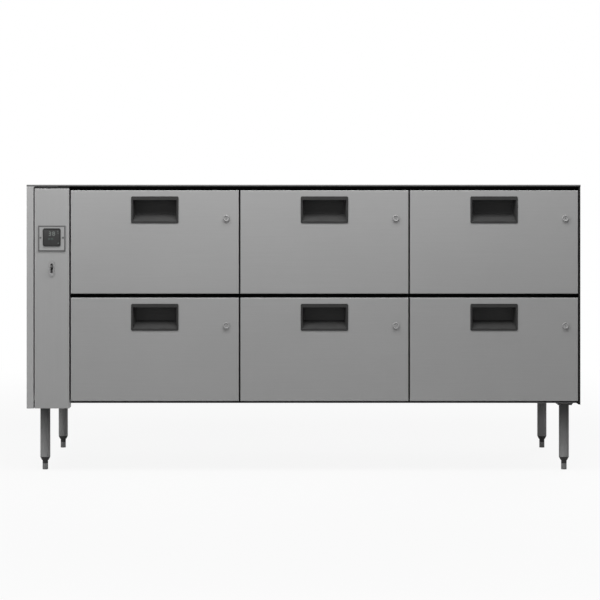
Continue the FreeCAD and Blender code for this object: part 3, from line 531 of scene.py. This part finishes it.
FRONT_WIDTH, FRONT_HEIGHT = 0.532, 0.327
BEAD_INSET, BEAD_Y = 0.0062, -0.2868
bead = framing(
    on_drawer(FRONT_WIDTH / 2, BEAD_Y, FRONT_HEIGHT / 2),
    (FRONT_WIDTH - 2 * BEAD_INSET, FRONT_HEIGHT - 2 * BEAD_INSET),
    width=0.0032,
    thickness=0.0024,
    rounding=0.0008,
    rotation=UPRIGHT,
)
settle_six(bead, "gasket_bead", seal_finish, angle=60.0)


# Drawer fronts
# Foamed panels skinned in stainless sheet whose edges are bent over a small radius. The satin polish runs
# along the front and scatters the light, so that the panels look almost flat grey.
front_finish = sheet_finish("satin_front", 0.26, 0.32, rough=0.42, grain=along("X"), metallic=0.15)
front_finish.dress(*six("drawer_front"))


# Handle cups
# Moulded in dark grey plastic and pressed into a window of the front. The lip along the top is what the
# fingers pull on, and the floor slopes up to the back.
cup_finish = Finish("dark_cup", specular_ior_level=0.15)
cup_speck = cup_finish.haze(0.0012, 2.0)
cup_drift = cup_finish.cloud((0.03, 0.03, 0.014))
cup_finish.feed("Base Color", cup_finish.blend(cup_drift, grey(0.024), grey(0.038)))
cup_finish.feed("Roughness", cup_drift * 0.2 + 0.4)
cup_finish.relief(cup_speck, strength=0.1, distance=0.0002)
cup_finish.dress(*six("handle_cup"))


# Locks
# A cam lock in each front. Its rose has a rolled edge in the tone of the panel, and the plug with the key
# slot turns in it.
plug_finish = hazy_finish("lock_steel", 0.004, grey(0.24), grey(0.32), rough=0.2, spread=0.15, metallic=0.8)
plug_finish.dress(*six("lock_plug"))

FACE_Y = -0.334
ROSE_Y = FACE_Y - 0.004
LOCK_X, LOCK_Z = 0.492, 0.239
rose = half_ring(
    0.0084,
    0.0016,
    centre=on_drawer(LOCK_X, ROSE_Y, LOCK_Z),
    inwards=(0, 1, 0),
    steps=(48, 12),
    rotation=UPRIGHT,
)
settle_six(rose, "lock_rose", front_finish, angle=60.0)


# Bins
# Folded from stainless sheet, with a hemmed rim, and held to the fronts by angle brackets with three screws
# each. The polish runs along the sides.
bin_finish = sheet_finish("bin_sheet", 0.36, 0.46, rough=0.28, grain=along("Y", 0.14))
bin_finish.dress(*six("drawer_bin"))
RIM_SIZE, RIM_Y, RIM_Z = (0.4482, 0.4426), -0.0455, 0.2276
bin_rim = framing(
    on_drawer(FRONT_WIDTH / 2, RIM_Y, RIM_Z),
    RIM_SIZE,
    width=0.0046,
    thickness=0.0062,
    rounding=0.0018,
    segments=3,
)
settle_six(bin_rim, "bin_rim", bin_finish)

BRACKET_Y = -0.2815
BRACKET_SCREWS = [(x, z) for x in (0.0755, 0.4565) for z in (0.06, 0.105, 0.15)]
for count, (x, z) in enumerate(BRACKET_SCREWS, start=1):
    screw = button(radius=0.0036, height=0.0018, centre=on_drawer(x, BRACKET_Y, z), side="back")
    settle_six(screw, "bracket_screw", rivet_finish, ending=f"_{count}")


# Top
# One stainless sheet whose edges are turned down against the body, the lower part of the hems painted near
# black as shade under the sheet's edge. Its face is polished along its length, and the rest of its hems is of
# one plain tone.
HEM_DEPTH, SHADE_BAND_DEPTH = 0.0004, 0.0034  # how far under the face the hem and the painted shade band begin
top_finish = sheet_finish("top_sheet", 0.14, 0.19, rough=0.34, grain=along("X", 0.3))
top_height = top_finish.axes()[2]
is_hem = top_height < TOP_Z - HEM_DEPTH
# Painted shade: the lower part of the hems is near black and not metallic.
is_shade_band = top_height < TOP_Z - SHADE_BAND_DEPTH
top_tone = top_finish.blend(is_hem, top_finish.tone, grey(0.17))
top_finish.feed("Base Color", top_finish.blend(is_shade_band, top_tone, grey(0.004)))
top_finish.feed("Metallic", (1 - is_shade_band) * 0.3)
top_finish.dress("top_panel")


# Control column
# A folded stainless pan in front of the electrical space, in the same satin polish as the drawer fronts. A
# black strip in the gap between its upper edge and the top is painted shade.
column_finish = sheet_finish("column_sheet", 0.27, 0.33, rough=0.36, grain=along("Z", 0.14))
column_finish.dress("control_fascia")


def middle(low, high):
    return (low + high) / 2


def block(centre, size, rounding, segments=2):
    """A rectangular piece with rounded edges."""
    piece = start("cube", size=1, location=centre)
    piece.scale = size
    bpy.ops.object.transform_apply(location=True, scale=True)
    modify(piece, "BEVEL", width=rounding, segments=segments)
    return piece


fascia_low, fascia_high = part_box("control_fascia")
# Painted shade: a near-black strip fills the gap under the top.
shade_strip_low, shade_strip_high = fascia_high[2] - 0.0004, TOP_Z - 0.0061
shade_strip = block(
    (middle(fascia_low[0], fascia_high[0]), FACE_Y + 0.0012, middle(shade_strip_low, shade_strip_high)),
    (fascia_high[0] - fascia_low[0], 0.0016, shade_strip_high - shade_strip_low),
    rounding=0.0005,
    segments=3,
)
settle(shade_strip, "fascia_shade_strip", "cabinet", seal_finish)


# Display plate
# A small stainless plate over the thermostat's opening. A dark grey edging round it is painted shade along
# the plate's edges, and a screw at each side holds it.
plate_finish = sheet_finish("display_sheet", 0.27, 0.33, rough=0.34, grain=along("X"))
plate_finish.dress("display_plate")
edge_shade_finish = Finish("painted_edge_shade", roughness=0.6)
edge_shade_speck = edge_shade_finish.haze(0.002, 2.0)
edge_shade_finish.feed("Base Color", edge_shade_finish.blend(edge_shade_speck, grey(0.07), grey(0.1)))
edge_shade_finish.relief(edge_shade_speck, strength=0.1, distance=0.0002)
# Painted shade: a dark edging over the plate's rim stands for the shade along its edges.
EDGING_OVERHANG = 0.0002
plate_low, plate_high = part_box("display_plate")
PLATE_Y, PLATE_X = plate_low[1], middle(plate_low[0], plate_high[0])
shade_edging = framing(
    (PLATE_X, PLATE_Y - 0.0006, middle(plate_low[2], plate_high[2])),
    [plate_high[axis] - plate_low[axis] + 2 * EDGING_OVERHANG for axis in (0, 2)],
    width=0.0040,
    thickness=0.0026,
    rounding=0.0005,
    rotation=UPRIGHT,
)
settle(shade_edging, "display_shade_edging", "cabinet", edge_shade_finish)

screw_finish = hazy_finish(
    "dull_screw", 0.002, grey(0.09), grey(0.15), rough=0.3, spread=0.2, detail=2.0, metallic=0.7
)
SCREW_REACH, SCREW_Z, SCREW_TURN = 0.0355, plate_low[2] + 0.043, 0.6
for number, x in enumerate((PLATE_X - SCREW_REACH, PLATE_X + SCREW_REACH), start=1):
    head = button(radius=0.0031, height=0.0012, centre=(x, PLATE_Y, SCREW_Z), side="front")
    notch = start("cube", size=1, location=(x, PLATE_Y - 0.0014, SCREW_Z), rotation=(0, SCREW_TURN, 0))
    notch.scale = (0.0008, 0.0012, 0.008)
    modify(head, "BOOLEAN", operation="DIFFERENCE", object=notch, solver="EXACT")
    bpy.data.objects.remove(notch)
    settle(head, f"display_screw_{number}", "cabinet", screw_finish)


# Thermostat
# A black moulded case with a smoked window. Two lit digits, three small lamps and two flat keys lie behind
# the window.
case_finish = Finish("smoked_case", specular_ior_level=0.3)
case_speck = case_finish.haze(0.002, 2.0)
case_drift = case_finish.haze(0.02, 2.0)
case_finish.feed("Base Color", case_finish.blend(case_drift, grey(0.008), grey(0.018)))
case_finish.feed("Roughness", case_speck * 0.1 + 0.4)
case_finish.dress("controller")

case_low, case_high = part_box("controller")
CASE_X, CASE_Z = middle(case_low[0], case_high[0]), middle(case_low[2], case_high[2])
GLASS_Y = case_low[1] + 0.0005
GLASS_SIZE = (0.0476, 0.0003, 0.0486)
window = block((CASE_X, GLASS_Y + GLASS_SIZE[1] / 2, CASE_Z), GLASS_SIZE, rounding=0.00012)
window_finish = hazy_finish(
    "smoked_window",
    0.03,
    grey(0.012),
    grey(0.026),
    rough=0.3,
    spread=0.15,
    detail=2.0,
    specular_ior_level=0.4,
)
settle(window, "display_window", "cabinet", window_finish)

SEGMENTS = {  # each bar's middle in half widths and half heights of a digit, and whether it lies flat
    "top": (0, 1, True),
    "middle": (0, 0, True),
    "bottom": (0, -1, True),
    "upper_left": (-1, 0.5, False),
    "upper_right": (1, 0.5, False),
    "lower_left": (-1, -0.5, False),
    "lower_right": (1, -0.5, False),
}
DIGITS = (
    (CASE_X - 0.0062, ("top", "upper_right", "middle", "lower_right", "bottom")),
    (CASE_X + 0.0062, tuple(SEGMENTS)),
)
DIGITS_Z, HALF_WIDTH, HALF_HEIGHT = CASE_Z + 0.0115, 0.0033, 0.0058
FLAT_BAR, UPRIGHT_BAR = (0.0030, 0.0009, 1), (0.0009, 0.0027, 1)
bars = []
for digit_x, lit in DIGITS:
    for name in lit:
        across, up, lies = SEGMENTS[name]
        place = (digit_x + across * HALF_WIDTH, GLASS_Y, DIGITS_Z + up * HALF_HEIGHT)
        bar = start("circle", vertices=6, radius=1, fill_type="NGON", location=place, rotation=UPRIGHT)
        bar.scale = FLAT_BAR if lies else UPRIGHT_BAR
        bpy.ops.object.transform_apply(location=True, rotation=True, scale=True)
        modify(bar, "SOLIDIFY", thickness=0.0002, offset=1.0)
        bars.append(bar)
digit_finish = Finish("lit_digit", roughness=0.4, emission_strength=1.0)
digit_haze = digit_finish.haze(0.004, 1.0)
digit_glow = digit_finish.blend(digit_haze, (0.11, 0.13, 0.12, 1), (0.17, 0.2, 0.18, 1))
digit_finish.feed("Base Color", digit_finish.blend(digit_haze, grey(0.06), grey(0.09)))
digit_finish.feed("Emission Color", digit_glow)
settle(join(bars), "display_digits", "cabinet", digit_finish)

LAMPS = ((0.0198, 0.0192), (0.0198, 0.0132), (0.0204, -0.0183))  # from the middle of the window
lamps = [button(0.0011, 0.0003, (CASE_X + x, GLASS_Y, CASE_Z + z), "front") for x, z in LAMPS]
settle(join(lamps), "display_lamps", "cabinet", digit_finish)

KEYS, KEYS_Z, KEY_SIZE = (-0.0082, 0.0012), CASE_Z - 0.0052, (0.0070, 0.0004, 0.0052)
key_finish = Finish("flat_keys", roughness=0.4)
key_speck = key_finish.haze(0.004, 2.0)
key_tone = key_finish.blend(key_speck, (0.022, 0.034, 0.03, 1), (0.04, 0.055, 0.05, 1))
key_finish.feed("Base Color", key_tone)
key_finish.relief(key_speck, strength=0.1, distance=0.0002)
keys = [block((CASE_X + x, GLASS_Y - 0.0001, KEYS_Z), KEY_SIZE, rounding=0.00018) for x in KEYS]
settle(join(keys), "display_keys", "cabinet", key_finish)


# Power switch
# An oblong steel escutcheon with a slot and a rolled rim, in the tone of the fascia. In the slot stands a
# dark lever that tips down.
switch_finish = hazy_finish(
    "escutcheon_steel", 0.006, grey(0.25), grey(0.31), rough=0.3, spread=0.15, metallic=0.75
)
switch_finish.dress("power_switch")

RIM_STRETCH = 0.009  # how far each half of the round rim is drawn out
switch_low, switch_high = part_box("power_switch")
SWITCH = Vector((PLATE_X, FACE_Y - 0.0012, middle(switch_low[2], switch_high[2])))
rim = ring(0.0071, 0.0014, centre=SWITCH, steps=(48, 12), rotation=UPRIGHT)
bpy.ops.object.transform_apply(location=True, rotation=True)
for side in (1, -1):
    pick(rim, lambda face: (face.center.z - SWITCH.z) * side > 0)
    bpy.ops.transform.translate(value=(0, 0, RIM_STRETCH * side))
    done()
rim_finish = hazy_finish(
    "rolled_rim",
    0.006,
    grey(0.26),
    grey(0.34),
    rough=0.35,
    spread=0.15,
    metallic=0.1,
    specular_ior_level=0.2,
)
settle(rim, "switch_rim", "cabinet", rim_finish, angle=60.0)

lever_finish = hazy_finish(
    "dark_lever", 0.002, grey(0.05), grey(0.08), rough=0.3, spread=0.15, detail=2.0, specular_ior_level=0.3
)
lever_finish.dress("switch_lever")


# Cable entry
# The supply cable comes in through a round hole in the back sheet, behind the control column. The hole's edge
# has a rolled bush of black rubber.
BUSH = (-0.7975, BACK_Y, BASE_Z + 0.042)
bush = half_ring(0.0124, 0.0021, centre=BUSH, inwards=(0, -1, 0), steps=(40, 12), rotation=UPRIGHT)
settle(bush, "cable_bush", "cabinet", seal_finish, angle=60.0)


# Room
# A pale floor that keeps a soft shadow and fades into a white room. A wide lamp hangs above in front, and two
# large ones stand at the left and behind at the right.
FADE_BEGIN, FADE_END = 1.2, 3.5  # on the floor, from the middle
floor = start("plane", size=30.0, location=(0, 0, 0))
floor.name = "floor"
floor_finish = Finish("pale_floor", roughness=0.7)
floor_speck = floor_finish.haze(0.4, 2.0)
floor_finish.feed("Base Color", floor_finish.blend(floor_speck, grey(0.5), grey(0.54)))
reach = floor_finish.add("ShaderNodeVectorMath", {"operation": "LENGTH"}, {0: floor_finish.place()}, "Value")
fade = floor_finish.ramp(reach, FADE_BEGIN, FADE_END, first=0.9, last=1.0)
camera_ray = floor_finish.add("ShaderNodeLightPath", output="Is Camera Ray")
glossy_ray = floor_finish.add("ShaderNodeLightPath", output="Is Glossy Ray")
seen = camera_ray.reckon("MAXIMUM", camera_ray, glossy_ray)
glow = floor_finish.add("ShaderNodeEmission", None, {"Color": grey(1.0), "Strength": 1.0})
dull = Link(floor_finish, floor_finish.shader.outputs[0])
mixed = floor_finish.add("ShaderNodeMixShader", None, {0: seen * fade, 1: dull, 2: glow})
floor_finish.tree.links.new(mixed.socket, floor_finish.tree.nodes["Material Output"].inputs["Surface"])
floor.data.materials.append(floor_finish.material)

LIGHT_ON_OBJECT, LIGHT_SEEN = 0.12, 1.0
world = bpy.data.worlds.new("white_room")
bpy.context.scene.world = world
world.use_nodes = True
sky = world.node_tree
sight = sky.nodes.new("ShaderNodeLightPath")
total = sight.outputs["Is Camera Ray"]
for ray in ("Is Glossy Ray", "Is Transmission Ray"):
    either = sky.nodes.new("ShaderNodeMath")
    either.operation = "MAXIMUM"
    sky.links.new(total, either.inputs[0])
    sky.links.new(sight.outputs[ray], either.inputs[1])
    total = either.outputs[0]
level = sky.nodes.new("ShaderNodeMapRange")
level.inputs["To Min"].default_value = LIGHT_ON_OBJECT
level.inputs["To Max"].default_value = LIGHT_SEEN
sky.links.new(total, level.inputs["Value"])
back = sky.nodes["Background"]
back.inputs["Color"].default_value = grey(1.0)
sky.links.new(level.outputs["Result"], back.inputs["Strength"])


def lamp(name, power, width, height, place, aim):
    """A soft rectangular lamp, turned towards its aim."""
    light = bpy.data.lights.new(name, "AREA")
    light.shape = "RECTANGLE"
    light.energy = power
    light.size = width
    light.size_y = height
    made = bpy.data.objects.new(name, light)
    made.location = place
    made.rotation_euler = (Vector(aim) - Vector(place)).to_track_quat("-Z", "Y").to_euler()
    bpy.context.scene.collection.objects.link(made)


lamp("key_lamp", power=73.0, width=3.2, height=0.8, place=(-0.3, -1.05, 2.25), aim=(-0.3, 0, 0.9))
lamp("fill_lamp", power=24.0, width=1.8, height=1.8, place=(-3.8, -2.6, 1.4), aim=(-0.3, 0, 0.5))
lamp("back_lamp", power=60.0, width=2.0, height=2.0, place=(2.4, 2.8, 2.6), aim=(0.2, 0.1, 0.6))

CAMERA_X, CAMERA_REACH, CAMERA_Z = -0.0807, 6.02, TOP_Z - 0.004
camera_data = bpy.data.cameras.new("camera")
camera = bpy.data.objects.new("camera", camera_data)
camera.location = (CAMERA_X, FACE_Y - CAMERA_REACH, CAMERA_Z)
camera.rotation_euler = UPRIGHT
camera_data.sensor_width = 36.0
camera_data.lens = 114.1
camera_data.shift_x = 0.0365
camera_data.shift_y = -0.19
camera_data.clip_end = 100.0
bpy.context.scene.collection.objects.link(camera)
bpy.context.scene.camera = camera
bpy.context.scene.view_settings.view_transform = "Standard"
